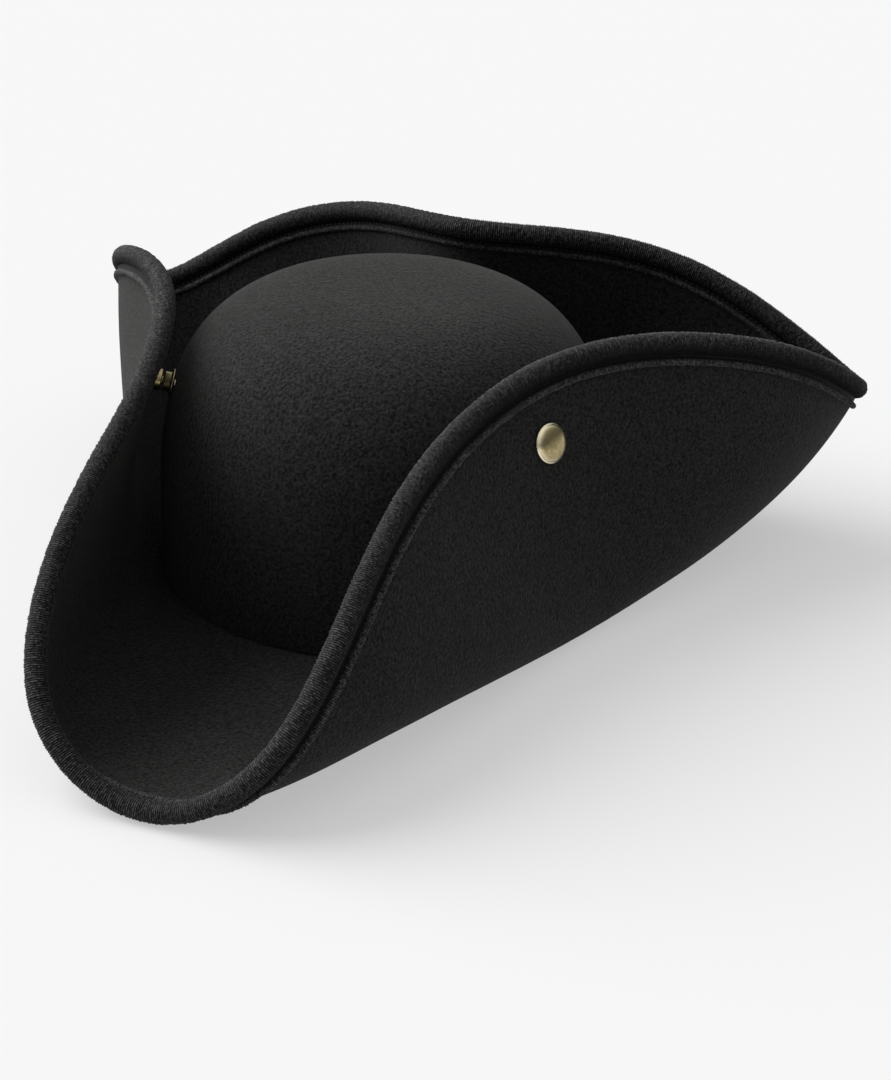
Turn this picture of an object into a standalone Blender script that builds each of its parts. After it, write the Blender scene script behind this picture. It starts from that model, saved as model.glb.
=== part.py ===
"""Three-cornered felt hat: a domed crown on a wide brim that is turned up in three flaps.

Each flap is held against the crown by a press stud, and folds outward when the stud is undone.
Lengths at the top are in millimetres.  +Z is up, the hat stands on z = 0 and its front corner
points along -Y, so that the wearer's left is +X.
"""
import math
from collections import namedtuple

import bmesh
import bpy
import numpy as np
from mathutils import Matrix, Vector

MM = 0.001

# ---------------------------------------------------------------- driving dimensions (mm)
CROWN_Y = 46.2                # puts the crown where the whole hat is centred on the origin
CROWN_HALF_WIDTH = 96.0
CROWN_HALF_LENGTH = 94.0
CROWN_TOP = 125.0
CROWN_SIDE_POWER = 3.6        # how long the side wall stays upright
CROWN_TOP_POWER = 3.3         # how flat the top is
FELT = 3.0                    # thickness of crown and brim
GAP = 0.3                     # between pieces that touch
BRIM_FLAT = 4.0               # level band of brim outside the crown
ROLL_RADIUS = 4.1             # bound edge
CORD_HOLE_RADIUS = 2.5        # hollow of the binding
CORD_RADIUS = 2.1             # filler cord in it

# Middle of the bound edge, from the front corner round the left side to the middle of the
# back: x and y from the crown's centre, z from the table.  The right side mirrors it.
EDGE_STATIONS = (
    (0, -221, 4.4),           # front corner
    (47, -210, 32),           # side of the scoop
    (60, -161, 78),
    (64, -98, 104),
    (84, -33, 116),           # middle of the side flap
    (123, 22, 111),
    (163, 73, 88),
    (168, 122, 60.5),         # rear corner
    (118, 127, 90),
    (58, 115, 112),
    (0, 87, 121),             # middle of the back flap
)
# How far out from the crown the brim stays level before it turns up, at these shares of the
# way from the front corner (0) to the middle of the back (1).
FOLD_REACH = ((0.0, 113.0), (0.40, 29.0), (0.68, 76.0), (1.0, 21.0))

# Flap hinges: direction the flap faces, hinge line's distance from the crown's centre, and
# how far the flap reaches along the hinge line either side of the crown's centre.
SIDE_FACING = (0.937, -0.349)
SIDE_HINGE_OFFSET = 113.5
SIDE_REACH = (-100.0, 95.0)
BACK_FACING = (0.0, 1.0)
BACK_HINGE_OFFSET = 107.5
BACK_REACH = (-100.0, 100.0)
HINGE_HEIGHT = 9.0
SIDE_INNER_OFFSET = 62.0      # where the flap's region starts, from the crown's centre
BACK_INNER_OFFSET = 70.0
FLAP_SWING = 36.0             # degrees kept free below an opening flap
FLAP_GAP = 0.5
CUTTER_SIZE = 300.0

# Press studs: where they sit on the brim (share of the way round, share of the way up).
SIDE_SNAP = (0.381, 0.895)
BACK_SNAP = (1.0, 0.895)
# Profiles are (radius, height) with height 0 in the middle of the flap's felt, outward up.
CAP_RADIUS = 8.0
CAP_EDGE = (1.9, 2.4)
CAP_RISE = 2.4
CAP_SHOULDER = 0.9            # below 1 the dome is fuller at its rim
CAP_SHANK = (1.9, -1.6)
SOCKET_PROFILE = ((0, -1.9), (6.0, -1.9), (6.0, -2.6), (4.5, -2.9), (4.5, -5.2), (4.1, -5.6),
                  (2.7, -5.6), (2.7, -3.0), (0, -3.0))
STUD_PROFILE = ((0, -3.6), (1.6, -3.7), (2.1, -4.3), (2.1, -4.8), (1.7, -5.4), (1.7, -6.2),
                (3.9, -6.4), (4.2, -9.3), (5.8, -9.6), (5.8, -10.3), (0, -10.3))
POST_PROFILE = ((0, -10.6), (1.5, -10.6), (1.5, -13.9), (5.4, -13.9), (5.4, -14.4),
                (4.6, -14.8), (0, -14.8))
# Round seats that the studs press into the felt: radius, and the heights they span.
CAP_SEAT = (8.3, 1.6, 5.6)
SOCKET_SEAT = (6.3, -5.0, -1.6)
STUD_SEAT = (6.2, -10.6, -4.0)
POST_SEAT = (5.8, -19.0, -13.6)
FLAP_BORE = (2.2, -FELT, FELT)
CROWN_BORE = (1.9, -20.0, -5.0)

SWEATBAND_THICKNESS = 1.2
SWEATBAND_BOTTOM = 0.8
SWEATBAND_TOP = 34.0
SWEATBAND_CLEARANCE = 0.8

# ---------------------------------------------------------------- mesh resolution
EDGE_STEPS = 86
BRIM_STEPS = 7
CROWN_STEPS = 48
CROWN_RINGS = 9
ROLL_SIDES = 8
CORD_SIDES = 5
TURN_STEPS = 16
DOME_STEPS = 4
SHARP_EDGE = 35.0             # degrees between faces
MERGE_DISTANCE = 1e-6
SHARE_STEP = 1e-4             # small step along the brim, to find its directions

MATERIALS = {                 # base colour, roughness, metallic
    "felt": ((0.018, 0.018, 0.019), 0.95, 0.0),
    "binding": ((0.014, 0.014, 0.015), 0.85, 0.0),
    "cord": ((0.10, 0.10, 0.10), 0.9, 0.0),
    "sweatband": ((0.016, 0.016, 0.017), 0.8, 0.0),
    "brass": ((0.62, 0.50, 0.28), 0.28, 1.0),
    "steel": ((0.50, 0.50, 0.48), 0.35, 1.0),
}


# ---------------------------------------------------------------- shape of the hat
def closed_spline(knots, values, period):
    """A smooth closed curve through the values, as a function of the parameter."""
    knots = np.asarray(knots, float)
    values = np.asarray(values, float)
    count = len(knots)
    step = np.diff(np.append(knots, knots[0] + period))
    slope = (np.roll(values, -1, axis=0) - values) / step[:, None]
    matrix = np.zeros((count, count))
    for i in range(count):
        matrix[i, i - 1] += step[i - 1]
        matrix[i, i] += 2 * (step[i - 1] + step[i])
        matrix[i, (i + 1) % count] += step[i]
    bend = np.linalg.solve(matrix, 6 * (slope - np.roll(slope, 1, axis=0)))

    def at(parameter):
        parameter = (parameter - knots[0]) % period + knots[0]
        i = int(np.searchsorted(knots, parameter, side="right")) - 1
        j = (i + 1) % count
        after = parameter - knots[i]
        before = step[i] - after
        curve = (bend[i] * before ** 3 + bend[j] * after ** 3) / (6 * step[i])
        start = (values[i] / step[i] - bend[i] * step[i] / 6) * before
        end = (values[j] / step[i] - bend[j] * step[i] / 6) * after
        return curve + start + end

    return at


def both_sides(stations, mirror):
    """Stations given for the left half, carried on round the right half."""
    middle = [mirror(station) for station in stations[-2:0:-1]]
    return list(stations) + middle


EDGE_SHARES = [i / (len(EDGE_STATIONS) - 1) for i in range(2 * len(EDGE_STATIONS) - 2)]
edge_curve = closed_spline(
    EDGE_SHARES, both_sides(EDGE_STATIONS, lambda p: (-p[0], p[1], p[2])), 2.0)
fold_stations = both_sides(FOLD_REACH, lambda f: (2.0 - f[0], f[1]))
fold_curve = closed_spline(
    [f[0] for f in fold_stations], [[f[1]] for f in fold_stations], 2.0)


def crown_foot(share):
    """Point where the crown meets the brim, and the level direction away from the crown."""
    angle = math.pi * (share - 0.5)
    along = np.array((math.cos(angle), math.sin(angle), 0.0))
    size = np.array((CROWN_HALF_WIDTH, CROWN_HALF_LENGTH, 1.0))
    outward = along / size
    return along * size + np.array((0, 0, FELT / 2)), outward / np.linalg.norm(outward)


def brim_controls(share):
    """The three points that shape the brim's section: level start, fold, bound edge."""
    foot, outward = crown_foot(share)
    fold = foot + outward * fold_curve(share)[0]
    return foot + outward * BRIM_FLAT, fold, edge_curve(share)


def edge_direction(share):
    """Direction in which the brim runs into its bound edge."""
    _, fold, edge = brim_controls(share)
    return (edge - fold) / np.linalg.norm(edge - fold)


def brim_point(share, up):
    """Point in the middle of the felt; up is 0 at the level band and 1 at the felt's edge."""
    start, fold, edge = brim_controls(share)
    edge = edge - edge_direction(share) * (ROLL_RADIUS + GAP)
    return (1 - up) ** 2 * start + 2 * up * (1 - up) * fold + up ** 2 * edge


def brim_normal(share, up):
    """Unit normal of the brim on its lower, outer side."""
    around = brim_point(share + SHARE_STEP, up) - brim_point(share - SHARE_STEP, up)
    outward = brim_point(share, up + SHARE_STEP) - brim_point(share, up - SHARE_STEP)
    normal = np.cross(around, outward)
    return normal / np.linalg.norm(normal)


def to_world(point):
    """Hat millimetres, measured from the crown's centre, to metres in the model's frame."""
    return Vector((point[0] * MM, (point[1] + CROWN_Y) * MM, point[2] * MM))


# ---------------------------------------------------------------- making objects
def clear_scene():
    for obj in list(bpy.data.objects):
        bpy.data.objects.remove(obj, do_unlink=True)


def material(name):
    made = bpy.data.materials.get(name)
    if made is None:
        colour, roughness, metallic = MATERIALS[name]
        made = bpy.data.materials.new(name)
        made.use_nodes = True
        shader = made.node_tree.nodes["Principled BSDF"]
        shader.inputs["Base Color"].default_value = (*colour, 1.0)
        shader.inputs["Roughness"].default_value = roughness
        shader.inputs["Metallic"].default_value = metallic
        made.diffuse_color = (*colour, 1.0)
    return made


def add_object(name, bm, finish=None, origin=(0, 0, 0)):
    """Turns a bmesh in world metres into an object whose origin is at the given point."""
    bmesh.ops.recalc_face_normals(bm, faces=bm.faces)
    bmesh.ops.translate(bm, verts=bm.verts, vec=-Vector(origin))
    mesh = bpy.data.meshes.new(name)
    bm.to_mesh(mesh)
    bm.free()
    obj = bpy.data.objects.new(name, mesh)
    obj.location = origin
    bpy.context.scene.collection.objects.link(obj)
    if finish:
        mesh.materials.append(material(finish))
        mesh.shade_smooth()
        mesh.set_sharp_from_angle(angle=math.radians(SHARP_EDGE))
    else:
        obj.hide_render = True
        obj.display_type = "WIRE"
    return obj


def cut(obj, cutter, operation="DIFFERENCE"):
    boolean = obj.modifiers.new(cutter.name, "BOOLEAN")
    boolean.operation = operation
    boolean.solver = "EXACT"
    boolean.object = cutter


def ring_of_faces(bm, first, second, closed=True):
    """Quads between two rows of vertices."""
    last = len(first) if closed else len(first) - 1
    for i in range(last):
        j = (i + 1) % len(first)
        bm.faces.new((first[i], first[j], second[j], second[i]))


def lofted(rows, closed_rows, closed_across):
    """bmesh of quads through equal rows of points (hat millimetres)."""
    bm = bmesh.new()
    made = [[bm.verts.new(to_world(p)) for p in row] for row in rows]
    pairs = len(made) if closed_rows else len(made) - 1
    for i in range(pairs):
        ring_of_faces(bm, made[i], made[(i + 1) % len(made)], closed_across)
    return bm, made


# ---------------------------------------------------------------- brim felt
def brim_ring():
    """The whole brim as one closed ring of felt, before it is parted into flaps."""
    rows = []
    for i in range(EDGE_STEPS):
        share = 2.0 * i / EDGE_STEPS
        foot, outward = crown_foot(share)
        inner = foot - outward * FELT
        half = np.array((0, 0, FELT / 2))
        upper = [inner + half]
        lower = [inner - half]
        for j in range(BRIM_STEPS + 1):
            up = j / BRIM_STEPS
            offset = brim_normal(share, up) * FELT / 2 if j else -half
            upper.append(brim_point(share, up) - offset)
            lower.append(brim_point(share, up) + offset)
        rows.append(upper + lower[::-1])
    bm, _ = lofted(rows, True, True)
    return bm


Flap = namedtuple("Flap", "facing side hinge reach inner snap")
FLAPS = {
    "left": Flap(SIDE_FACING, 1, SIDE_HINGE_OFFSET, SIDE_REACH, SIDE_INNER_OFFSET, SIDE_SNAP),
    "right": Flap(SIDE_FACING, -1, SIDE_HINGE_OFFSET, SIDE_REACH, SIDE_INNER_OFFSET, SIDE_SNAP),
    "back": Flap(BACK_FACING, 1, BACK_HINGE_OFFSET, BACK_REACH, BACK_INNER_OFFSET, BACK_SNAP),
}


def flap_along(flap):
    """Unit direction of the flap's hinge line; a side flap's runs from front to rear."""
    if flap == "back":
        return Vector((1, 0, 0))
    facing = FLAPS[flap].facing
    return Vector((-facing[1] * FLAPS[flap].side, facing[0], 0))


def flap_outward(flap):
    facing = FLAPS[flap].facing
    return Vector((facing[0] * FLAPS[flap].side, facing[1], 0))


def hinge_point(flap):
    """Point on the hinge line, in the model's frame."""
    outward = flap_outward(flap) * FLAPS[flap].hinge
    return to_world((outward.x, outward.y, HINGE_HEIGHT))


def flap_cutter(flap, grow, swing):
    """A prism round one flap; its underside rises outward of the hinge line by swing degrees."""
    hinge, reach, inner = FLAPS[flap].hinge, FLAPS[flap].reach, FLAPS[flap].inner - grow
    outward = flap_outward(flap)
    along = flap_along(flap)
    rise = math.radians(swing)
    base = HINGE_HEIGHT - grow
    far = hinge + CUTTER_SIZE * math.cos(rise)
    section = (
        (inner, base),
        (hinge, base),
        (far, base + CUTTER_SIZE * math.sin(rise)),
        (far, HINGE_HEIGHT + CUTTER_SIZE),
        (inner, HINGE_HEIGHT + CUTTER_SIZE),
    )
    bm = bmesh.new()
    ends = []
    for distance in (reach[0] - grow, reach[1] + grow):
        row = []
        for offset, height in section:
            level = outward * offset + along * distance
            row.append(bm.verts.new(to_world((level.x, level.y, height))))
        ends.append(row)
    ring_of_faces(bm, ends[0], ends[1])
    bm.faces.new(ends[0])
    bm.faces.new(ends[1][::-1])
    return add_object(f"cutter_{flap}_{grow:.1f}", bm)


# ---------------------------------------------------------------- bound edge
def edge_section(share, radius, sides):
    """Circle of points round the bound edge."""
    along = edge_curve(share + SHARE_STEP) - edge_curve(share - SHARE_STEP)
    along = along / np.linalg.norm(along)
    into = edge_direction(share)
    into = into - along * np.dot(into, along)
    into = into / np.linalg.norm(into)
    outer = np.cross(into, along)
    centre = edge_curve(share)
    points = []
    for k in range(sides):
        angle = 2 * math.pi * (k + 0.5) / sides
        points.append(centre + radius * (math.cos(angle) * into + math.sin(angle) * outer))
    return points


def edge_shares(first, last):
    steps = round((last - first) / 2.0 * EDGE_STEPS)
    return [first + (last - first) * i / steps for i in range(steps + 1)]


def binding_tube(name, first, last):
    """Knitted binding: a hollow roll round the edge, open at both ends for the cord."""
    shares = edge_shares(first, last)
    bm, outer = lofted([edge_section(s, ROLL_RADIUS, ROLL_SIDES) for s in shares], False, True)
    inner = [[bm.verts.new(to_world(p)) for p in edge_section(s, CORD_HOLE_RADIUS, ROLL_SIDES)]
             for s in shares]
    for i in range(len(inner) - 1):
        ring_of_faces(bm, inner[i], inner[i + 1])
    ring_of_faces(bm, outer[0], inner[0])
    ring_of_faces(bm, outer[-1], inner[-1])
    return add_object(name, bm, "binding")


def filler_cord(name, first, last):
    shares = edge_shares(first, last)
    bm, rows = lofted([edge_section(s, CORD_RADIUS, CORD_SIDES) for s in shares], False, True)
    bm.faces.new(rows[0])
    bm.faces.new(rows[-1][::-1])
    return add_object(name, bm, "cord")


# ---------------------------------------------------------------- crown and sweatband
def oval(half_width, half_length, height, steps):
    points = []
    for k in range(steps):
        angle = 2 * math.pi * k / steps
        points.append((half_width * math.cos(angle), half_length * math.sin(angle), height))
    return points


def dome_rings(inset, bottom):
    """Rings of a superellipse dome, from the foot up to just below its top."""
    rise = CROWN_TOP - inset - FELT / 2
    lowest = math.asin(((bottom - FELT / 2) / rise) ** (CROWN_SIDE_POWER / 2))
    rings = []
    for i in range(CROWN_RINGS):
        angle = lowest + (math.pi / 2 - lowest) * i / CROWN_RINGS
        reach = math.cos(angle) ** (2 / CROWN_TOP_POWER)
        height = FELT / 2 + rise * math.sin(angle) ** (2 / CROWN_SIDE_POWER)
        rings.append(oval((CROWN_HALF_WIDTH - inset) * reach,
                          (CROWN_HALF_LENGTH - inset) * reach, height, CROWN_STEPS))
    return rings


def make_crown():
    """Domed shell of felt, open below."""
    bottom = FELT + GAP
    bm = bmesh.new()
    feet = []
    for inset in (0.0, FELT):
        rows = [[bm.verts.new(to_world(p)) for p in ring] for ring in dome_rings(inset, bottom)]
        top = bm.verts.new(to_world((0, 0, CROWN_TOP - inset)))
        for lower, upper in zip(rows, rows[1:]):
            ring_of_faces(bm, lower, upper)
        for i in range(CROWN_STEPS):
            bm.faces.new((rows[-1][i], rows[-1][(i + 1) % CROWN_STEPS], top))
        feet.append(rows[0])
    ring_of_faces(bm, feet[0], feet[1])
    return add_object("crown", bm, "felt")


def make_sweatband():
    outer = FELT + SWEATBAND_CLEARANCE
    inner = outer + SWEATBAND_THICKNESS
    rows = [
        oval(CROWN_HALF_WIDTH - outer, CROWN_HALF_LENGTH - outer, SWEATBAND_BOTTOM, CROWN_STEPS),
        oval(CROWN_HALF_WIDTH - outer, CROWN_HALF_LENGTH - outer, SWEATBAND_TOP, CROWN_STEPS),
        oval(CROWN_HALF_WIDTH - inner, CROWN_HALF_LENGTH - inner, SWEATBAND_TOP, CROWN_STEPS),
        oval(CROWN_HALF_WIDTH - inner, CROWN_HALF_LENGTH - inner, SWEATBAND_BOTTOM, CROWN_STEPS),
    ]
    bm, _ = lofted(rows, True, True)
    return add_object("sweatband", bm, "sweatband")


# ---------------------------------------------------------------- press studs
def snap_place(flap):
    """Middle of the flap's felt at the press stud, and the outward direction there."""
    side = FLAPS[flap].side
    point = brim_point(*FLAPS[flap].snap)
    normal = brim_normal(*FLAPS[flap].snap)
    return (to_world((point[0] * side, point[1], point[2])),
            Vector((normal[0] * side, normal[1], normal[2])).normalized())


def turned(name, profile, flap, finish=None):
    """Solid turned about a flap's press stud axis from (radius, height) points."""
    bm = bmesh.new()
    verts = [bm.verts.new((radius * MM, 0, height * MM)) for radius, height in profile]
    edges = [bm.edges.new(pair) for pair in zip(verts, verts[1:])]
    bmesh.ops.spin(bm, geom=verts + edges, cent=(0, 0, 0), axis=(0, 0, 1),
                   angle=2 * math.pi, steps=TURN_STEPS, use_merge=True)
    bmesh.ops.remove_doubles(bm, verts=bm.verts, dist=MERGE_DISTANCE)
    centre, normal = snap_place(flap)
    turn = normal.to_track_quat("Z", "Y").to_matrix().to_4x4()
    bmesh.ops.transform(bm, matrix=Matrix.Translation(centre) @ turn, verts=bm.verts)
    return add_object(name, bm, finish)


def cap_profile():
    """Domed cap with a rolled edge, and the shank that goes through the felt."""
    dome = []
    for i in range(DOME_STEPS + 1):
        angle = math.pi / 2 * (1 - i / DOME_STEPS)
        radius = CAP_RADIUS * math.cos(angle) ** CAP_SHOULDER if i else 0.0
        dome.append((radius, CAP_EDGE[1] + CAP_RISE * math.sin(angle)))
    shank_radius, shank_end = CAP_SHANK
    return dome + [(CAP_RADIUS, CAP_EDGE[0]), (shank_radius, CAP_EDGE[0]),
                   (shank_radius, shank_end), (0, shank_end)]


def cut_seat(felt, name, seat, flap):
    radius, low, high = seat
    profile = ((0, high), (radius, high), (radius, low), (0, low))
    cut(felt, turned(f"cutter_{flap}_{name}", profile, flap))


def make_snap(flap, crown, panel):
    turned(f"{flap}_snap_cap", cap_profile(), flap, "brass")
    turned(f"{flap}_snap_socket", SOCKET_PROFILE, flap, "brass")
    turned(f"{flap}_snap_stud", STUD_PROFILE, flap, "brass")
    turned(f"{flap}_snap_post", POST_PROFILE, flap, "steel")
    cut_seat(panel, "flap_bore", FLAP_BORE, flap)
    cut_seat(panel, "cap_seat", CAP_SEAT, flap)
    cut_seat(panel, "socket_seat", SOCKET_SEAT, flap)
    cut_seat(crown, "stud_seat", STUD_SEAT, flap)
    cut_seat(crown, "post_seat", POST_SEAT, flap)
    cut_seat(crown, "crown_bore", CROWN_BORE, flap)


# ---------------------------------------------------------------- assembly
FLAP_SPANS = {"left": (0.15, 0.62), "right": (1.38, 1.85), "back": (0.78, 1.22)}
CORNER_SPANS = {"front": (-0.25, 0.25), "rear_left": (0.49, 0.87), "rear_right": (1.13, 1.51)}


def main():
    clear_scene()
    crown = make_crown()
    make_sweatband()
    brim = add_object("brim_base", brim_ring(), "felt")
    openings = []
    for flap, span in FLAP_SPANS.items():
        keep = flap_cutter(flap, 0.0, FLAP_SWING)
        openings.append(flap_cutter(flap, FLAP_GAP, 0.0))
        panel = add_object(f"{flap}_flap", brim_ring(), "felt", hinge_point(flap))
        for piece in (panel, binding_tube(f"{flap}_flap_binding", *span),
                      filler_cord(f"{flap}_flap_cord", *span)):
            cut(piece, keep, "INTERSECT")
        make_snap(flap, crown, panel)
    corners = [brim]
    for corner, span in CORNER_SPANS.items():
        corners.append(binding_tube(f"{corner}_binding", *span))
        corners.append(filler_cord(f"{corner}_cord", *span))
    for piece in corners:
        for opening in openings:
            cut(piece, opening)


main()
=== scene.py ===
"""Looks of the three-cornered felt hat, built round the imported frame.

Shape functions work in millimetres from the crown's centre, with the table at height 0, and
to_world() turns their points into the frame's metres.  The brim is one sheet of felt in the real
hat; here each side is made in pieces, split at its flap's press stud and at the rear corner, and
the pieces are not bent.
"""

import math

import bmesh
import bpy
import numpy as np
from mathutils import Matrix, Vector, noise


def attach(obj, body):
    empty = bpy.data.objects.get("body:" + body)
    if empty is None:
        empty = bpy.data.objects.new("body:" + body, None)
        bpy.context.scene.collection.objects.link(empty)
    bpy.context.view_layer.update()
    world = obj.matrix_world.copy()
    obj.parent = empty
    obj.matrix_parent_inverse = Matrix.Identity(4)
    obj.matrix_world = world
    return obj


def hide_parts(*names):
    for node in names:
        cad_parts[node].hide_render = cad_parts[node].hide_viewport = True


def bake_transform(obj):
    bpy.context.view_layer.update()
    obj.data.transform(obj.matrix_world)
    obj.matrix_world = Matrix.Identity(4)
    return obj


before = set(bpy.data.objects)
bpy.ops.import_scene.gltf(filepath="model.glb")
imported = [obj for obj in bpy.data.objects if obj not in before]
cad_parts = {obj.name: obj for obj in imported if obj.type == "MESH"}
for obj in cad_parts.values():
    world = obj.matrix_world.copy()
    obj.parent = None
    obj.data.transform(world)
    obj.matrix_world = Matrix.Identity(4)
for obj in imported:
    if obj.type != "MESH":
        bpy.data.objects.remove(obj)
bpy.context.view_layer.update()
MM = 0.001

# ---------------------------------------------------------------- the hat's shape, as in the CAD
CROWN_Y = 46.2
CROWN_HALF_WIDTH = 96.0
CROWN_HALF_LENGTH = 94.0
CROWN_TOP = 125.0
CROWN_SIDE_POWER = 3.6
CROWN_TOP_POWER = 3.3
FELT = 3.0
BRIM_FLAT = 4.0
BRIM_BAND = (-FELT, -1.0, 1.0, 2.6)    # the level felt round the crown's foot, outward from it
FELT_EDGE_INSET = 4.4         # felt's edge to the middle of the rolled edge
EDGE_STATIONS = (
    (0, -221, 4.4), (47, -210, 32), (60, -161, 78), (64, -98, 104), (84, -33, 116),
    (123, 22, 111), (163, 73, 88), (168, 122, 60.5), (118, 127, 90), (58, 115, 112),
    (0, 87, 121),
)
FOLD_REACH = ((0.0, 113.0), (0.40, 29.0), (0.68, 76.0), (1.0, 21.0))
REAR_CORNER = 0.7             # shares of the way round from the front corner
BACK_MIDDLE = 1.0
SIDE_SNAP = (0.381, 0.895)
BACK_SNAP = (1.0, 0.895)
SIDE_FACING = (0.937, -0.349)
FLAPS = ("left", "right", "back")

# ---------------------------------------------------------------- resolution and surface detail
EDGE_SPACING = 1.7
UP_STEPS = 62
CROWN_RINGS = 92
CROWN_INNER_RINGS = 40
CROWN_STEPS = 300
SWEATBAND_STEPS = 360
TURNED_SIDES = 72
FINE = 4000                   # samples of a curve that is then walked at even distances
RIB_PITCH = 0.88
RIB_SAMPLES = 4
RIB_HEIGHT = 0.22
KNIT_LOW, KNIT_HIGH = 0.30, 1.40   # how much the height of a rib changes from stitch to stitch
STITCH_PITCH = 2.6
STITCH_LENGTH = 1.5
STITCH_RADIUS = 0.3
STITCH_SIDES = 6
WAVE, WAVE_SIZE = 0.35, 42.0           # soft unevenness of the brim's felt: height and span
BULGE, BULGE_SIZE = 0.45, 55.0         # the same for the crown
SWELL, SWELL_SIZE = 0.12, 16.0         # the same for the rolled edge

# The height of a flap's middle, where it would stay with the hat; bend_with sets it on a point
# that nothing uses, so no flap bends.
BEND_LOW = 8.0


def unit(v):
    return v / np.linalg.norm(v, axis=-1, keepdims=True)


def closed_spline(knots, values, period):
    """A smooth closed curve through the values, as a function of an array of parameters."""
    knots = np.asarray(knots, float)
    values = np.asarray(values, float)
    count = len(knots)
    step = np.diff(np.append(knots, knots[0] + period))
    slope = (np.roll(values, -1, axis=0) - values) / step[:, None]
    matrix = np.zeros((count, count))
    for i in range(count):
        matrix[i, i - 1] += step[i - 1]
        matrix[i, i] += 2 * (step[i - 1] + step[i])
        matrix[i, (i + 1) % count] += step[i]
    bend = np.linalg.solve(matrix, 6 * (slope - np.roll(slope, 1, axis=0)))

    def at(parameter):
        parameter = (np.asarray(parameter, float) - knots[0]) % period + knots[0]
        i = np.searchsorted(knots, parameter, side="right") - 1
        j = (i + 1) % count
        width = step[i][..., None]
        after = (parameter - knots[i])[..., None]
        before = width - after
        curve = (bend[i] * before ** 3 + bend[j] * after ** 3) / (6 * width)
        start = (values[i] / width - bend[i] * width / 6) * before
        end = (values[j] / width - bend[j] * width / 6) * after
        return curve + start + end

    return at


def both_sides(stations, mirror):
    return list(stations) + [mirror(station) for station in stations[-2:0:-1]]


EDGE_SHARES = [i / (len(EDGE_STATIONS) - 1) for i in range(2 * len(EDGE_STATIONS) - 2)]
edge_curve = closed_spline(
    EDGE_SHARES, both_sides(EDGE_STATIONS, lambda p: (-p[0], p[1], p[2])), 2.0)
fold_stations = both_sides(FOLD_REACH, lambda f: (2.0 - f[0], f[1]))
fold_curve = closed_spline(
    [f[0] for f in fold_stations], [[f[1]] for f in fold_stations], 2.0)


def crown_foot(share):
    angle = math.pi * (np.asarray(share, float) - 0.5)
    along = np.stack((np.cos(angle), np.sin(angle), np.zeros_like(angle)), -1)
    size = np.array((CROWN_HALF_WIDTH, CROWN_HALF_LENGTH, 1.0))
    return along * size + np.array((0, 0, FELT / 2)), unit(along / size)


def brim_controls(share):
    foot, outward = crown_foot(share)
    return foot + outward * BRIM_FLAT, foot + outward * fold_curve(share), edge_curve(share)


def brim_point(share, up):
    """Middle of the felt; up is 0 at the level band round the crown and 1 at the felt's edge."""
    start, fold, edge = brim_controls(share)
    edge = edge - unit(edge - fold) * FELT_EDGE_INSET
    up = np.asarray(up, float)[..., None]
    return (1 - up) ** 2 * start + 2 * up * (1 - up) * fold + up ** 2 * edge


def brim_normal(share, up):
    """Unit normal of the felt on its lower, outer side."""
    small = 1e-4
    up = np.maximum(up, 1e-3)
    around = brim_point(share + small, up) - brim_point(share - small, up)
    outward = brim_point(share, up + small) - brim_point(share, up - small)
    return unit(np.cross(around, outward))


def edge_frame(share):
    """Along the bound edge, into the edge away from the brim, and to the brim's outer side."""
    small = 1e-4
    along = unit(edge_curve(share + small) - edge_curve(share - small))
    _, fold, edge = brim_controls(share)
    into = edge - fold
    into = unit(into - along * (into * along).sum(-1, keepdims=True))
    return along, into, np.cross(along, into)


def to_world(points):
    """Hat millimetres to the frame's metres."""
    points = np.asarray(points, float)
    return (points + np.array((0, CROWN_Y, 0))) * MM


def even_shares(first, last, spacing, multiple=1):
    """Shares of the way round at even distances along the bound edge."""
    fine = np.linspace(first, last, FINE)
    points = edge_curve(fine)
    run = np.append(0, np.cumsum(np.linalg.norm(np.diff(points, axis=0), axis=1)))
    count = multiple * max(1, round(run[-1] / (spacing * multiple)))
    return np.interp(np.linspace(0, run[-1], count + 1), run, fine)


def snap_place(flap):
    """Middle of the felt at a flap's press stud, in mm, and the outward normal there."""
    flip = np.array((-1 if flap == "right" else 1, 1, 1))
    share, up = (np.array(value) for value in (BACK_SNAP if flap == "back" else SIDE_SNAP))
    return brim_point(share, up) * flip, brim_normal(share, up) * flip


# ---------------------------------------------------------------- objects from points
def add_object(name, data):
    obj = bpy.data.objects.new(name, data)
    bpy.context.scene.collection.objects.link(obj)
    return obj


def add_mesh(name, points, faces, materials, attributes=None, material_index=None):
    """Object from points in hat millimetres; attributes are one number for each point."""
    mesh = bpy.data.meshes.new(name)
    mesh.from_pydata(to_world(points).tolist(), [], faces)
    for key, values in (attributes or {}).items():
        layer = mesh.attributes.new(key, "FLOAT", "POINT")
        layer.data.foreach_set("value", np.asarray(values, np.float32))
    for made in materials:
        mesh.materials.append(made)
    if material_index is not None:
        mesh.polygons.foreach_set("material_index", material_index)
    mesh.shade_smooth()
    return add_object(name, mesh)


def grid_faces(rows, columns, closed_rows=False, closed_columns=False, flip=False, start=0):
    """Quads through a grid of points stored row after row."""
    i = np.arange(rows if closed_rows else rows - 1)
    j = np.arange(columns if closed_columns else columns - 1)
    i, j = np.meshgrid(i, j, indexing="ij")
    i2, j2 = (i + 1) % rows, (j + 1) % columns
    quads = np.stack((i * columns + j, i2 * columns + j, i2 * columns + j2, i * columns + j2), -1)
    quads = quads.reshape(-1, 4) + start
    return (quads[:, ::-1] if flip else quads).tolist()


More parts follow.
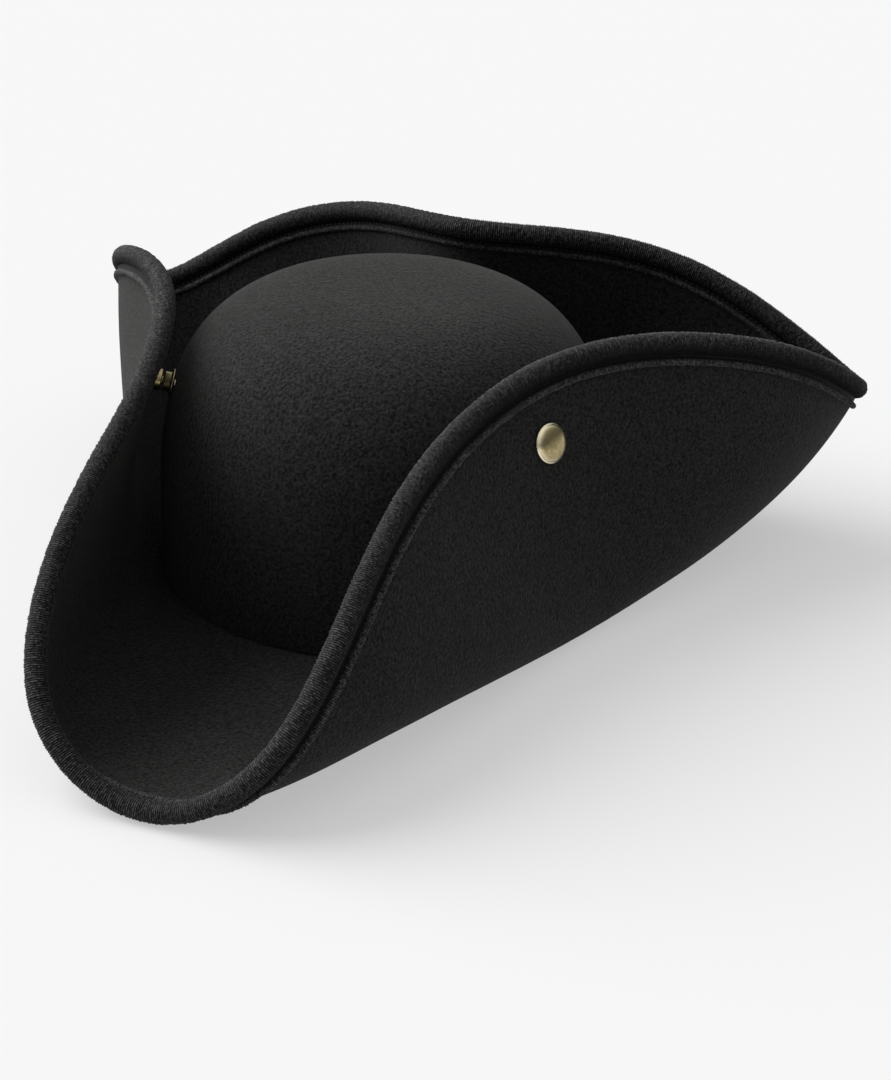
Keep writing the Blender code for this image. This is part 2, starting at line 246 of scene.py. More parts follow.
def capsules(places, rings, half_length, flip=False, start=0):
    """Short lengths of thread: points and faces for each (centre, along, x, y) of the places.
    The rings are shares of the half length, and start is the number of the first point."""
    points, faces = [], []
    angles = [2 * math.pi * k / STITCH_SIDES for k in range(STITCH_SIDES)]
    for centre, along, x, y in places:
        first = start + len(points)
        for ring in rings:
            width = STITCH_RADIUS * math.sqrt(max(0.02, 1 - ring ** 4))
            points += [centre + along * ring * half_length
                       + width * (math.cos(t) * x + math.sin(t) * y) for t in angles]
        faces += grid_faces(len(rings), STITCH_SIDES, closed_columns=True, flip=flip, start=first)
        ends = [[first + k for k in range(STITCH_SIDES)],
                [first + (len(rings) - 1) * STITCH_SIDES + k for k in range(STITCH_SIDES)]]
        ends[0 if flip else 1].reverse()
        faces += ends
    return points, faces


def rough(points, size, seed):
    """Smooth random number from -1 to 1 for each point, changing over size mm."""
    shift = Vector((seed * 17.3, seed * 5.1, seed * 9.7))
    return np.array([noise.noise(Vector(p) / size + shift) for p in points])


def cut_at(obj, name, point, direction):
    """The part of obj behind the plane, as a new object with its own mesh."""
    bm = bmesh.new()
    bm.from_mesh(obj.data)
    geometry = bm.verts[:] + bm.edges[:] + bm.faces[:]
    bmesh.ops.bisect_plane(bm, geom=geometry, dist=1e-7, plane_co=point, plane_no=direction,
                           clear_outer=True)
    mesh = bpy.data.meshes.new(name)
    bm.to_mesh(mesh)
    bm.free()
    for made in obj.data.materials:
        mesh.materials.append(made)
    return add_object(name, mesh)


# ---------------------------------------------------------------- materials
class Nodes:
    """A material's node tree round one Principled shader."""

    def __init__(self, name, colour, roughness, **constants):
        self.material = bpy.data.materials.new(name)
        self.material.use_nodes = True
        self.tree = self.material.node_tree
        self.shader = self.tree.nodes["Principled BSDF"]
        self.shader.inputs["Base Color"].default_value = (*colour, 1)
        self.shader.inputs["Roughness"].default_value = roughness
        for key, value in constants.items():
            self.shader.inputs[key.replace("_", " ")].default_value = value
        self.place = self.add("ShaderNodeTexCoord").outputs["Object"]

    def add(self, kind, inputs=None, **settings):
        node = self.tree.nodes.new(kind)
        for key, value in settings.items():
            setattr(node, key, value)
        for key, value in (inputs or {}).items():
            if isinstance(value, bpy.types.NodeSocket):
                self.tree.links.new(value, node.inputs[key])
            else:
                node.inputs[key].default_value = value
        return node

    def link(self, socket, name):
        self.tree.links.new(socket, self.shader.inputs[name])

    def noise(self, scale, detail, roughness, distortion=0.0):
        node = self.add("ShaderNodeTexNoise", {
            "Vector": self.place, "Scale": scale, "Detail": detail,
            "Roughness": roughness, "Distortion": distortion})
        return node.outputs["Fac"]

    def ramp(self, value, low, high, low_colour, high_colour):
        node = self.add("ShaderNodeValToRGB", {"Fac": value})
        ends = node.color_ramp.elements
        ends[0].position, ends[1].position = low, high
        ends[0].color, ends[1].color = (*low_colour, 1), (*high_colour, 1)
        return node.outputs["Color"]

    def times(self, a, b):
        return self.add("ShaderNodeMath", {0: a, 1: b}, operation="MULTIPLY").outputs[0]

    def attribute(self, name):
        """A number that add_mesh stored for each point."""
        return self.add("ShaderNodeAttribute", attribute_name=name).outputs["Fac"]

    def spread(self, value, low, high, new_low, new_high):
        node = self.add("ShaderNodeMapRange", {
            "Value": value, "From Min": low, "From Max": high,
            "To Min": new_low, "To Max": new_high})
        return node.outputs["Result"]

    def mix(self, factor, a, b, blend="MIX"):
        node = self.add("ShaderNodeMix", data_type="RGBA", blend_type=blend)
        for index, value in ((0, factor), (6, a), (7, b)):
            if isinstance(value, bpy.types.NodeSocket):
                self.tree.links.new(value, node.inputs[index])
            else:
                node.inputs[index].default_value = value
        return node.outputs[2]

    def bump(self, height, strength, distance, under=None):
        inputs = {"Height": height, "Strength": strength, "Distance": distance}
        if under:
            inputs["Normal"] = under
        return self.add("ShaderNodeBump", inputs).outputs["Normal"]


def grey(level, warmth=0.0):
    return (level * (1 + warmth), level, level * (1 - warmth))


def felt_material(name, level):
    """Pressed wool felt: mottled nap, long soft fibres and a little sheen."""
    felt = Nodes(name, grey(level), 0.92, Sheen_Weight=0.10, Sheen_Roughness=0.42,
                 Sheen_Tint=(0.62, 0.62, 0.60, 1), Specular_IOR_Level=0.1)
    nap = felt.noise(800.0, 3.0, 0.58, 0.25)
    fibre = felt.noise(2600.0, 3.0, 0.6, 1.5)
    patch = felt.noise(26.0, 2.0, 0.5)
    base = felt.ramp(nap, 0.34, 0.66, grey(level * 0.30, 0.01), grey(level * 2.0, 0.02))
    worn = felt.ramp(patch, 0.3, 0.72, grey(0.80), grey(1.0))
    colour = felt.mix(1.0, base, worn, "MULTIPLY")
    lint = felt.ramp(fibre, 0.62, 0.80, grey(0.0), grey(level * 1.6, 0.02))
    felt.link(felt.mix(1.0, colour, lint, "ADD"), "Base Color")
    felt.link(felt.spread(nap, 0.3, 0.7, 0.98, 0.86), "Roughness")
    rise = felt.bump(nap, 1.0, 0.0009)
    felt.link(felt.bump(fibre, 0.35, 0.00015, rise), "Normal")
    return felt.material


def binding_material():
    """Knitted rib tape: matt black yarn with painted shade between the ribs and in the groove, a
    painted highlight on the welt, and rubbed patches at random.
    """
    tape = Nodes("rib_knit", grey(0.012), 0.8, Sheen_Weight=0.12, Sheen_Roughness=0.35,
                 Sheen_Tint=(0.6, 0.6, 0.58, 1), Specular_IOR_Level=0.15)
    rib = tape.attribute("rib")
    yarn = tape.noise(1250.0, 3.0, 0.6, 0.8)
    patch = tape.noise(60.0, 2.0, 0.5)
    # Painted shade: the colour goes nearly black in the rib valleys and grooves, and lighter on
    # the crests.
    base = tape.ramp(rib, 0.12, 0.95, grey(0.0006), grey(0.036, 0.01))
    # Painted highlight: the welt's rib crests are coloured lighter.
    welt = tape.attribute("welt")
    base = tape.mix(tape.times(welt, 0.8), base, (*grey(0.060, 0.01), 1))
    flecks = tape.ramp(yarn, 0.38, 0.62, grey(0.12), grey(1.9))
    colour = tape.mix(1.0, base, flecks, "MULTIPLY")
    rubbed = tape.ramp(patch, 0.35, 0.75, grey(0.85), grey(1.12))
    tape.link(tape.mix(1.0, colour, rubbed, "MULTIPLY"), "Base Color")
    tape.link(tape.spread(yarn, 0.3, 0.7, 0.9, 0.7), "Roughness")
    tape.link(tape.bump(yarn, 0.5, 0.00012), "Normal")
    return tape.material


def thread_material():
    thread = Nodes("sewing_thread", grey(0.006), 0.55, Specular_IOR_Level=0.4)
    twist = thread.noise(5200.0, 2.0, 0.5)
    thread.link(thread.ramp(twist, 0.3, 0.7, grey(0.003), grey(0.011)), "Base Color")
    thread.link(thread.bump(twist, 0.5, 0.00008), "Normal")
    return thread.material


def sweatband_material():
    """Twill ribbon: fine diagonal lines crossed by the weft."""
    band = Nodes("twill_ribbon", grey(0.014), 0.6, Sheen_Weight=0.2, Sheen_Roughness=0.4,
                 Specular_IOR_Level=0.35)
    diagonal = band.add("ShaderNodeTexWave", {
        "Vector": band.place, "Scale": 330.0, "Distortion": 1.2, "Detail": 2.0,
        "Detail Scale": 2.0}, wave_type="BANDS", bands_direction="DIAGONAL")
    lines = diagonal.outputs["Fac"]
    weft = band.noise(2400.0, 2.0, 0.5)
    base = band.ramp(lines, 0.1, 0.9, grey(0.007), grey(0.021, 0.01))
    flecks = band.ramp(weft, 0.3, 0.7, grey(0.75), grey(1.2))
    band.link(band.mix(1.0, base, flecks, "MULTIPLY"), "Base Color")
    band.link(band.spread(weft, 0.3, 0.7, 0.72, 0.5), "Roughness")
    band.link(band.bump(weft, 0.3, 0.0001, band.bump(lines, 0.5, 0.0002)), "Normal")
    return band.material


def metal_material(name, colour, dull, rim, roughness):
    """Plated metal with faint brushing and dull spots, and a painted highlight that brightens its
    rim.
    """
    metal = Nodes(name, colour, roughness, Metallic=1.0)
    cloud = metal.noise(620.0, 4.0, 0.6)
    grain = metal.noise(3200.0, 2.0, 0.5, 0.4)
    spots = metal.noise(900.0, 3.0, 0.7)
    base = metal.ramp(cloud, 0.3, 0.75, dull, colour)
    # Painted highlight: the colour turns to the bright rim colour towards each piece's edge.
    painted_rim_highlight = metal.attribute("painted_rim_highlight")
    base = metal.mix(painted_rim_highlight, base, (*rim, 1))
    tarnish = metal.ramp(spots, 0.66, 0.80, grey(0.0), grey(0.55))
    metal.link(metal.mix(tarnish, base, (*[0.55 * c for c in dull], 1)), "Base Color")
    metal.link(metal.spread(cloud, 0.3, 0.7, roughness * 1.3, roughness * 0.85), "Roughness")
    metal.link(metal.bump(grain, 0.25, 0.00005), "Normal")
    return metal.material


FELT_LOOK = felt_material("wool_felt", 0.0115)
TAPE_LOOK = binding_material()
THREAD_LOOK = thread_material()
RIBBON_LOOK = sweatband_material()
# The third colour of each metal is its painted rim highlight.
BRASS_LOOK = metal_material("satin_brass", (0.45, 0.38, 0.20), (0.28, 0.23, 0.11),
                            (0.86, 0.78, 0.55), 0.27)
STEEL_LOOK = metal_material("plated_steel", (0.50, 0.50, 0.48), (0.36, 0.36, 0.35),
                            (0.58, 0.58, 0.56), 0.36)


# ---------------------------------------------------------------- press studs
def rounded(profile, radius=0.35, steps=4):
    """The (radius, height) profile with its corners rounded; points on the axis stay."""
    points = [np.array(p, float) for p in profile]
    made = [points[0]]
    for before, corner, after in zip(points, points[1:], points[2:]):
        if corner[0] < 1e-6:
            made.append(corner)
            continue
        toward, away = before - corner, after - corner
        reach = min(radius, 0.45 * np.linalg.norm(toward), 0.45 * np.linalg.norm(away))
        first, last = corner + unit(toward) * reach, corner + unit(away) * reach
        for k in range(steps + 1):
            t = k / steps
            made.append((1 - t) ** 2 * first + 2 * t * (1 - t) * corner + t ** 2 * last)
    return made + [points[-1]]


def turned(name, profile, flap, look, body):
    """Piece turned about a flap's press stud axis; heights run outward from the felt's middle."""
    centre, normal = snap_place(flap)
    turn = np.array(Vector(normal).to_track_quat("Z", "Y").to_matrix())
    sides = TURNED_SIDES
    angles = 2 * math.pi * np.arange(sides) / sides
    rows = [np.stack((r * np.cos(angles), r * np.sin(angles), np.full(sides, h)), -1)
            for r, h in profile if r > 1e-6]
    points = np.concatenate([np.concatenate(rows), [[0, 0, profile[0][1]]],
                             [[0, 0, profile[-1][1]]]])
    # Painted highlight: how far each point lies into the bright rim.
    painted_rim_highlight = np.clip((np.hypot(points[:, 0], points[:, 1]) - RIM_HIGHLIGHT_START) / RIM_HIGHLIGHT_RUN, 0, 1) ** 1.5
    first, last = len(points) - 2, len(points) - 1
    faces = grid_faces(len(rows), sides, closed_columns=True)
    ring = range(sides)
    start = (len(rows) - 1) * sides
    faces += [[first, k, (k + 1) % sides] for k in ring]
    faces += [[last, start + (k + 1) % sides, start + k] for k in ring]
    obj = add_mesh(name, centre + points @ turn.T, faces, [look], {"painted_rim_highlight": painted_rim_highlight})
    obj.data.set_sharp_from_angle(angle=math.radians(50))
    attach(obj, body)
    return obj


def cap_profile(steps=18):
    """Domed cap rolled under at its rim, and its shank through the felt."""
    dome = [(0.0, 4.80)]
    for k in range(1, steps):
        angle = math.pi / 2 * (1 - k / steps)
        dome.append((7.35 * math.cos(angle) ** 0.92, 2.72 + 2.08 * math.sin(angle) ** 1.05))
    rim = [(7.35 + 0.62 * math.cos(a), 2.28 + 0.44 * math.sin(a))
           for a in np.radians((62, 36, 10, -16, -42, -68, -90))]
    return dome + rim + [(6.6, 1.86), (1.9, 1.86), (1.9, -1.6), (0.0, -1.6)]


# Painted highlight: a press stud's metal is coloured brighter towards its rim.
RIM_HIGHLIGHT_START, RIM_HIGHLIGHT_RUN = 5.6, 1.8      # where a press stud's metal turns bright, out from its axis
# (radius, height) profiles; heights run outward from the middle of the flap's felt
SOCKET_PROFILE = ((0, -1.9), (6.0, -1.9), (6.0, -2.6), (4.5, -2.9), (4.5, -5.2), (4.1, -5.6),
                  (2.7, -5.6), (2.7, -3.0), (0, -3.0))
STUD_PROFILE = ((0, -3.6), (1.6, -3.7), (2.1, -4.3), (2.1, -4.8), (1.7, -5.4), (1.7, -6.2),
                (3.9, -6.4), (4.2, -9.3), (5.8, -9.6), (5.8, -10.3), (0, -10.3))
POST_PROFILE = ((0, -10.6), (1.5, -10.6), (1.5, -13.9), (5.4, -13.9), (5.4, -14.4),
                (4.6, -14.8), (0, -14.8))


def make_snap(flap):
    pieces = (
        ("cap", cap_profile(), BRASS_LOOK, f"{flap}_flap_body", "brass"),
        ("socket", rounded(SOCKET_PROFILE), BRASS_LOOK, f"{flap}_flap_body", "brass"),
        ("stud", rounded(STUD_PROFILE), BRASS_LOOK, "hat", "brass"),
        ("post", rounded(POST_PROFILE), STEEL_LOOK, "hat", "steel"),
    )
    for part, profile, look, body, slot in pieces:
        obj = turned(f"{flap}_{part}_turned", profile, flap, look, body)
        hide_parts(f"{flap}_snap_{part}")


CAP_SEAT = (8.2, -1.45, 1.55)      # radius of a dent in the felt, and the heights it is kept to
STUD_SEAT = (6.0, -60.0, -10.2)
POST_SEAT = (5.6, -13.95, 60.0)
CROWN_MIDDLE = -12.4               # middle of the crown's felt at a press stud
PRESS_REACH = 18


def press_felt(points, flap, radius, low, high, fade=4.0):
    """Felt dented by a round metal part: kept between two heights along the stud's axis."""
    centre, normal = snap_place(flap)
    offset = points - centre
    height = offset @ normal
    distance = np.linalg.norm(offset - height[:, None] * normal, axis=1)
    close = np.clip((radius + fade - distance) / fade, 0, 1)
    close = close * close * (3 - 2 * close)
    wanted = np.clip(height, low, high)
    near = np.abs(height) < PRESS_REACH
    return points + ((wanted - height) * close * near)[:, None] * normal


# ---------------------------------------------------------------- brim felt
def brim_felt_points(shares):
    """Closed loops of points round the felt's section, one loop for each share."""
    fine = np.linspace(0, 1, 160)
    grid = brim_point(shares[:, None], fine[None, :])
    run = np.linalg.norm(np.diff(grid, axis=1), axis=2).cumsum(1)
    ups = np.stack([np.interp(np.linspace(0, r[-1], UP_STEPS + 1), np.append(0, r), fine)
                    for r in run])
    middle = brim_point(shares[:, None], ups)
    normal = brim_normal(shares[:, None], ups)
    normal[:, 0] = (0, 0, -1)
    foot, outward = crown_foot(shares)
    band = np.stack([foot + outward * d for d in BRIM_BAND], 1)
    middle = np.concatenate((band, middle), 1)
    normal = np.concatenate((np.broadcast_to((0.0, 0.0, -1.0), band.shape), normal), 1)
    wave = rough(middle.reshape(-1, 3), WAVE_SIZE, 1).reshape(middle.shape[:2])
    step = np.arange(middle.shape[1])
    ease = np.clip((step - 6) / 14, 0, 1) * np.clip((step[-1] - step) / 8, 0, 1)
    middle = middle + (wave * WAVE * ease)[..., None] * normal
    upper = middle - normal * FELT / 2
    lower = middle + normal * FELT / 2
    return np.concatenate((upper, lower[:, ::-1]), 1)


def make_brim(name, first, last, side):
    shares = even_shares(first, last, EDGE_SPACING)
    loops = brim_felt_points(shares)
    loops = loops * np.array((side, 1, 1))
    rows, columns = loops.shape[:2]
    points = loops.reshape(-1, 3)
    for flap in FLAPS:
        points = press_felt(points, flap, *CAP_SEAT)
    points[:, 2] = np.maximum(points[:, 2], 0.0)
    faces = grid_faces(rows, columns, closed_columns=True, flip=side > 0)
    return add_mesh(name, points, faces, [FELT_LOOK])


# ---------------------------------------------------------------- knitted binding
# The tape's section: (into the edge, outward, share of the ribs' height) in mm, from its outer
# edge and welt into the groove, over the roll, and down the inner groove and welt.
OUTER_WELT = (
    (-8.8, 1.30, 0.0), (-8.8, 2.05, 0.5), (-8.60, 2.80, 1.0), (-8.10, 3.35, 1.0),
    (-7.45, 3.45, 1.0), (-6.80, 3.05, 1.0), (-6.35, 2.30, 0.5), (-6.0, 1.60, 0.0),
    (-5.2, 1.50, 0.0), (-4.4, 1.55, 0.0),
)
INNER_WELT = (
    (-4.5, -1.6, 0.1), (-5.0, -1.52, 0.0), (-5.5, -1.60, 0.0), (-6.1, -2.05, 0.4),
    (-6.8, -2.55, 0.7), (-7.5, -2.75, 0.8), (-8.2, -2.60, 0.7), (-8.8, -2.10, 0.4),
    (-9.0, -1.30, 0.0),
)
ROLL_CENTRE = -0.05
ROLL_RADII = (4.2, 4.15)
ROLL_TURN, ROLL_STEPS = 154, 27        # degrees from the roll's top to each groove
STITCH_SPOT = (-5.3, -1.66)
# Painted shade against the depth into the edge: the tape's colour darkens from the roll to the
# groove.
OUTER_PAINTED_SHADE = ((-3.8, -2.4, 1.4), (0.08, 0.25, 1.0))
INNER_PAINTED_SHADE = ((-4.4, -2.4), (0.5, 1.0))
GROOVE_END = -6.0
# Where the painted highlight on the welt starts, into the edge, and how fast it comes in.
WELT_START, WELT_FADE = -6.2, 0.6


def binding_profile():
    """Points of the tape's section, and the section's own outward direction at each."""
    roll = [(ROLL_CENTRE + ROLL_RADII[0] * math.cos(angle), -ROLL_RADII[1] * math.sin(angle), 1.0)
            for angle in np.radians(np.linspace(-ROLL_TURN, ROLL_TURN, ROLL_STEPS))]
    profile = np.array((*OUTER_WELT, *roll, *INNER_WELT))
    path = np.gradient(profile[:, :2], axis=0)
    return profile, unit(np.stack((-path[:, 1], path[:, 0]), -1))


def painted_tape_shade(profile):
    """Painted shade on the tape at each point of its section, as a factor on its colour."""
    deep = profile[:, 0]
    shade = np.where(profile[:, 1] > 0, np.interp(deep, *OUTER_PAINTED_SHADE),
                     np.interp(deep, *INNER_PAINTED_SHADE))
    shade[deep < GROOVE_END] = 1.0
    return shade


def felt_drift(shares, depths, into, outer):
    """How far the felt curves away from the edge's own plane at each depth below the edge."""
    fine = np.linspace(0.15, 1, 90)
    offset = brim_point(shares[:, None], fine[None, :]) - edge_curve(shares)[:, None, :]
    depth = -(offset * into[:, None, :]).sum(-1)
    drift = (offset * outer[:, None, :]).sum(-1)
    return np.stack([np.interp(depths, d[::-1], h[::-1]) for d, h in zip(depth, drift)])


def edge_stitches(shares, side):
    """Stitches that hold the tape's inner edge down, one at each share of the way round."""
    along, into, outer = edge_frame(shares)
    deep, out = STITCH_SPOT
    drift = felt_drift(shares, [-deep], into, outer)[:, 0]
    centre = edge_curve(shares) + into * deep + outer * (out + drift)[:, None]
    points, faces = capsules(zip(centre, along, into, outer), (-1.0, -0.86, -0.5, 0.5, 0.86, 1.0),
                             STITCH_LENGTH / 2, flip=True)
    if side < 0:
        faces = [face[::-1] for face in faces]
    return np.array(points) * np.array((side, 1, 1)), faces


def make_binding(name, first, last, side):
    shares = even_shares(first, last, RIB_PITCH / RIB_SAMPLES, RIB_SAMPLES)
    profile, facing = binding_profile()
    deep, ribbed = profile[:, 0], profile[:, 2]
    _, into, outer = edge_frame(shares)
    drift = felt_drift(shares, -deep, into, outer)
    drift = drift * np.clip(-deep - FELT_EDGE_INSET, 0, 1)
    phase = 2 * math.pi * np.arange(len(shares)) / RIB_SAMPLES
    crest = (0.5 + 0.5 * np.cos(phase)) ** 0.7
    chance = np.random.default_rng(int(first * 10) + 20 * (side + 2))
    ribs = math.ceil(len(shares) / RIB_SAMPLES)
    knit = chance.uniform(KNIT_LOW, KNIT_HIGH, (ribs, len(profile)))
    knit = np.repeat(knit, RIB_SAMPLES, axis=0)[:len(shares)]
    knit = np.roll(knit, -(RIB_SAMPLES // 2), axis=0)
    crest = crest[:, None] * knit
    edge = edge_curve(shares)
    lift = (crest - 0.5) * RIB_HEIGHT * 2 * ribbed
    lift = lift + SWELL * rough(edge, SWELL_SIZE, 3)[:, None] * (ribbed > 0.9)
    e = (deep + lift * facing[:, 0])[..., None]
    o = (profile[:, 1] + lift * facing[:, 1] + drift)[..., None]
    points = edge[:, None] + into[:, None] * e + outer[:, None] * o
    points = points * np.array((side, 1, 1))
    rows, columns = points.shape[:2]
    faces = grid_faces(rows, columns, flip=side < 0)
    sewn, sewn_faces = edge_stitches(even_shares(first, last, STITCH_PITCH)[:-1], side)
    start = rows * columns
    index = [0] * len(faces) + [1] * len(sewn_faces)
    faces += [[start + k for k in face] for face in sewn_faces]
    every = np.concatenate((points.reshape(-1, 3), sewn))
    every[:, 2] = np.maximum(every[:, 2], 0.02)
    # Painted shade for the colour: dark in rib valleys and grooves, and darker from the roll to
    # the groove.
    rib = crest * np.clip(ribbed * 1.4, 0, 1) * painted_tape_shade(profile)
    # Painted highlight on the welt's crests, where light catches the welt.
    welt = np.clip(crest, 0, 1) * np.clip((WELT_START - deep) / WELT_FADE, 0, 1)
    unsewn = np.zeros(len(sewn))
    return add_mesh(name, every, faces, [TAPE_LOOK, THREAD_LOOK],
                    {"rib": np.append(rib.ravel(), unsewn),
                     "welt": np.append(welt.ravel(), unsewn)}, index)


# ---------------------------------------------------------------- brim pieces at the flaps
def flap_line(flap):
    """Level unit direction of a flap's hinge line."""
    if flap == "back":
        return np.array((1.0, 0.0, 0.0))
    side = 1 if flap == "left" else -1
    return np.array((-SIDE_FACING[1] * side, SIDE_FACING[0], 0.0))


def bend_with(obj, flap):
    """Bakes the object's transform into its mesh; the flap's middle is worked out but not used."""
    middle = snap_place(flap)[0].copy()
    middle[2] = BEND_LOW
    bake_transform(obj)


def make_side(side):
    """The brim from the front corner round one side to the middle of the back."""
    word = "left" if side > 0 else "right"
    makers = (("brim_felt", make_brim, "felt"), ("brim_binding", make_binding, "binding"))
    for kind, maker, slot in makers:
        whole = maker(f"{kind}_{word}_whole", 0.0, REAR_CORNER, side)
        plane = to_world(snap_place(word)[0])
        line = flap_line(word)
        front = cut_at(whole, f"{kind}_front_{word}", plane, line)
        rear = cut_at(whole, f"{kind}_side_{word}", plane, -line)
        bpy.data.objects.remove(whole)
        back = maker(f"{kind}_rear_{word}", REAR_CORNER, BACK_MIDDLE, side)
        bend_with(front, word)
        bend_with(rear, word)
        bend_with(back, "back")
        if slot == "felt":
            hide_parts(f"{word}_flap", "brim_base")
            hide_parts(f"{word}_flap", "brim_base")
            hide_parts("back_flap", "brim_base")
        else:
            end = f"rear_{word}"
            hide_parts(f"{word}_flap_binding", "front_binding", f"{word}_flap_cord",
                        "front_cord")
            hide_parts(f"{word}_flap_binding", f"{end}_binding", f"{word}_flap_cord",
                        f"{end}_cord")
            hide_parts("back_flap_binding", f"{end}_binding", "back_flap_cord",
                        f"{end}_cord")


# ---------------------------------------------------------------- crown and sweatband
def dome_section(inset, low, rings):
    """Evenly spaced (reach, height) points of the crown's section, from its foot to the top."""
    rise = CROWN_TOP - inset - FELT / 2
    lowest = math.asin(((low - FELT / 2) / rise) ** (CROWN_SIDE_POWER / 2))
    angle = np.linspace(lowest, math.pi / 2, FINE)
    reach = np.abs(np.cos(angle)) ** (2 / CROWN_TOP_POWER)
    height = FELT / 2 + rise * np.sin(angle) ** (2 / CROWN_SIDE_POWER)
    run = np.append(0, np.cumsum(np.hypot(np.diff(reach * CROWN_HALF_WIDTH), np.diff(height))))
    even = np.linspace(0, run[-1], rings + 1)[:-1]
    return np.stack((np.interp(even, run, reach), np.interp(even, run, height)), -1)


def dome_rings(inset, low, rings, steps):
    angle = 2 * math.pi * np.arange(steps) / steps
    section = dome_section(inset, low, rings)
    x = (CROWN_HALF_WIDTH - inset) * section[:, :1] * np.cos(angle)
    y = (CROWN_HALF_LENGTH - inset) * section[:, :1] * np.sin(angle)
    return np.stack((x, y, np.broadcast_to(section[:, 1:], x.shape)), -1)


FOOT_HEIGHT, FOOT_ROUND = 4.3, 1.1     # where the crown's outer side starts, and its rounding
FOOT_STEPS = 5


def crown_bulge(shell):
    """Soft unevenness of the crown's outer side, as an offset for each point."""
    lean = unit(shell * np.array((1, 1, 0)) + np.array((0, 0, 1e-6)))
    facing = unit(lean * np.array((0.8, 0.8, 0))
                  + np.clip(shell[:, 2:] / CROWN_TOP, 0, 1) * np.array((0, 0, 1)))
    bulge = rough(shell, BULGE_SIZE, 5) * BULGE * np.clip((shell[:, 2] - 6) / 25, 0, 1)
    return facing * bulge[:, None]


def make_crown():
    """Felt shell in rings: down the inside from the top, round the foot and up the outside."""
    outer = dome_rings(0.0, FOOT_HEIGHT, CROWN_RINGS, CROWN_STEPS)
    inner = dome_rings(FELT, FOOT_HEIGHT, CROWN_INNER_RINGS, CROWN_STEPS)[::-1]
    level = outer[0] * np.array((1, 1, 0))
    outward = unit(level)
    foot = []
    for angle in np.linspace(math.pi / 2, 0, FOOT_STEPS + 1)[:-1]:
        foot.append(level - outward * FOOT_ROUND * (1 - math.cos(angle))
                    + np.array((0, 0, FOOT_HEIGHT - FOOT_ROUND * math.sin(angle))))
    outer = outer + crown_bulge(outer.reshape(-1, 3)).reshape(outer.shape)
    rows = np.concatenate((inner, foot, outer))
    points = rows.reshape(-1, 3)
    for flap in FLAPS:
        centre, normal = snap_place(flap)
        outside = (points - centre) @ normal > CROWN_MIDDLE
        points[outside] = press_felt(points, flap, *STUD_SEAT, 5.0)[outside]
        points[~outside] = press_felt(points, flap, *POST_SEAT)[~outside]
    peak = [[0, 0, inner[0, :, 2].mean()], [0, 0, outer[-1, :, 2].mean()]]
    faces = grid_faces(len(rows), CROWN_STEPS, closed_columns=True, flip=True)
    base = len(points)
    last = (len(rows) - 1) * CROWN_STEPS
    for k in range(CROWN_STEPS):
        after = (k + 1) % CROWN_STEPS
        faces.append([base, after, k])
        faces.append([base + 1, last + k, last + after])
    obj = add_mesh("crown_felt", np.concatenate((points, peak)), faces, [FELT_LOOK])
    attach(obj, "hat")
    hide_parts("crown")


RIBBON_INSET = FELT + 0.8 + 0.6        # crown's outer side to the middle of the ribbon
RIBBON_HALF = 0.6                      # half its thickness
RIBBON_TOP = 33.4
RIBBON_STITCHES = 190
RIBBON_STITCH_HALF = 0.85
RIBBON_STITCH_INSET = 1.0
RIBBON_STITCH_HEIGHT = 6.4


def ribbon_section():
    """Closed section of the ribbon, as (out from its middle, height), with its turned edge."""
    half = RIBBON_HALF
    section = [(half * math.cos(t), RIBBON_TOP + half * math.sin(t))
               for t in np.linspace(0, math.pi, 5)]
    section += [(-half, z) for z in np.linspace(32, 6, 10)]
    section += [(-half * 1.6, 4.6), (-half * 1.7, 2.6), (-half, 1.3)]
    section += [(half * math.cos(t), 1.4 + half * math.sin(t))
                for t in np.linspace(math.pi, 2 * math.pi, 5)]
    return section + [(half, z) for z in np.linspace(3, 32, 10)]


def make_sweatband():
    """Ribbon inside the crown, with a turned lower edge and a row of stitches."""
    angle = 2 * math.pi * np.arange(SWEATBAND_STEPS) / SWEATBAND_STEPS
    rows = [np.stack(((CROWN_HALF_WIDTH - RIBBON_INSET + out) * np.cos(angle),
                      (CROWN_HALF_LENGTH - RIBBON_INSET + out) * np.sin(angle),
                      np.full(SWEATBAND_STEPS, z)), -1) for out, z in ribbon_section()]
    points = np.concatenate(rows)
    faces = grid_faces(len(rows), SWEATBAND_STEPS, closed_rows=True, closed_columns=True,
                       flip=True)
    size = np.array((CROWN_HALF_WIDTH, CROWN_HALF_LENGTH)) - RIBBON_INSET - RIBBON_STITCH_INSET
    places = []
    for a in 2 * math.pi * np.arange(RIBBON_STITCHES) / RIBBON_STITCHES:
        places.append((np.array((math.cos(a) * size[0], math.sin(a) * size[1],
                                 RIBBON_STITCH_HEIGHT)),
                       np.array((-math.sin(a), math.cos(a), 0)),
                       np.array((math.cos(a), math.sin(a), 0)), np.array((0, 0, 1))))
    sewn, sewn_faces = capsules(places, (-1.0, -0.8, 0.0, 0.8, 1.0), RIBBON_STITCH_HALF,
                                start=len(points))
    index = [0] * len(faces) + [1] * len(sewn_faces)
    obj = add_mesh("sweatband_ribbon", np.concatenate((points, sewn)), faces + sewn_faces,
                   [RIBBON_LOOK, THREAD_LOOK], None, index)
    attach(obj, "hat")
    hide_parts("sweatband")


# ---------------------------------------------------------------- camera, light and floor
CAMERA_AZIMUTH, CAMERA_ELEVATION = math.radians(22.0858), math.radians(26.6925)
CAMERA_AIM = Vector((0, 0, 0.06))
CAMERA_OFFSET = (0.0418, -0.0258, 1.0523)      # right, up and back from the aim
LENS = 86.95
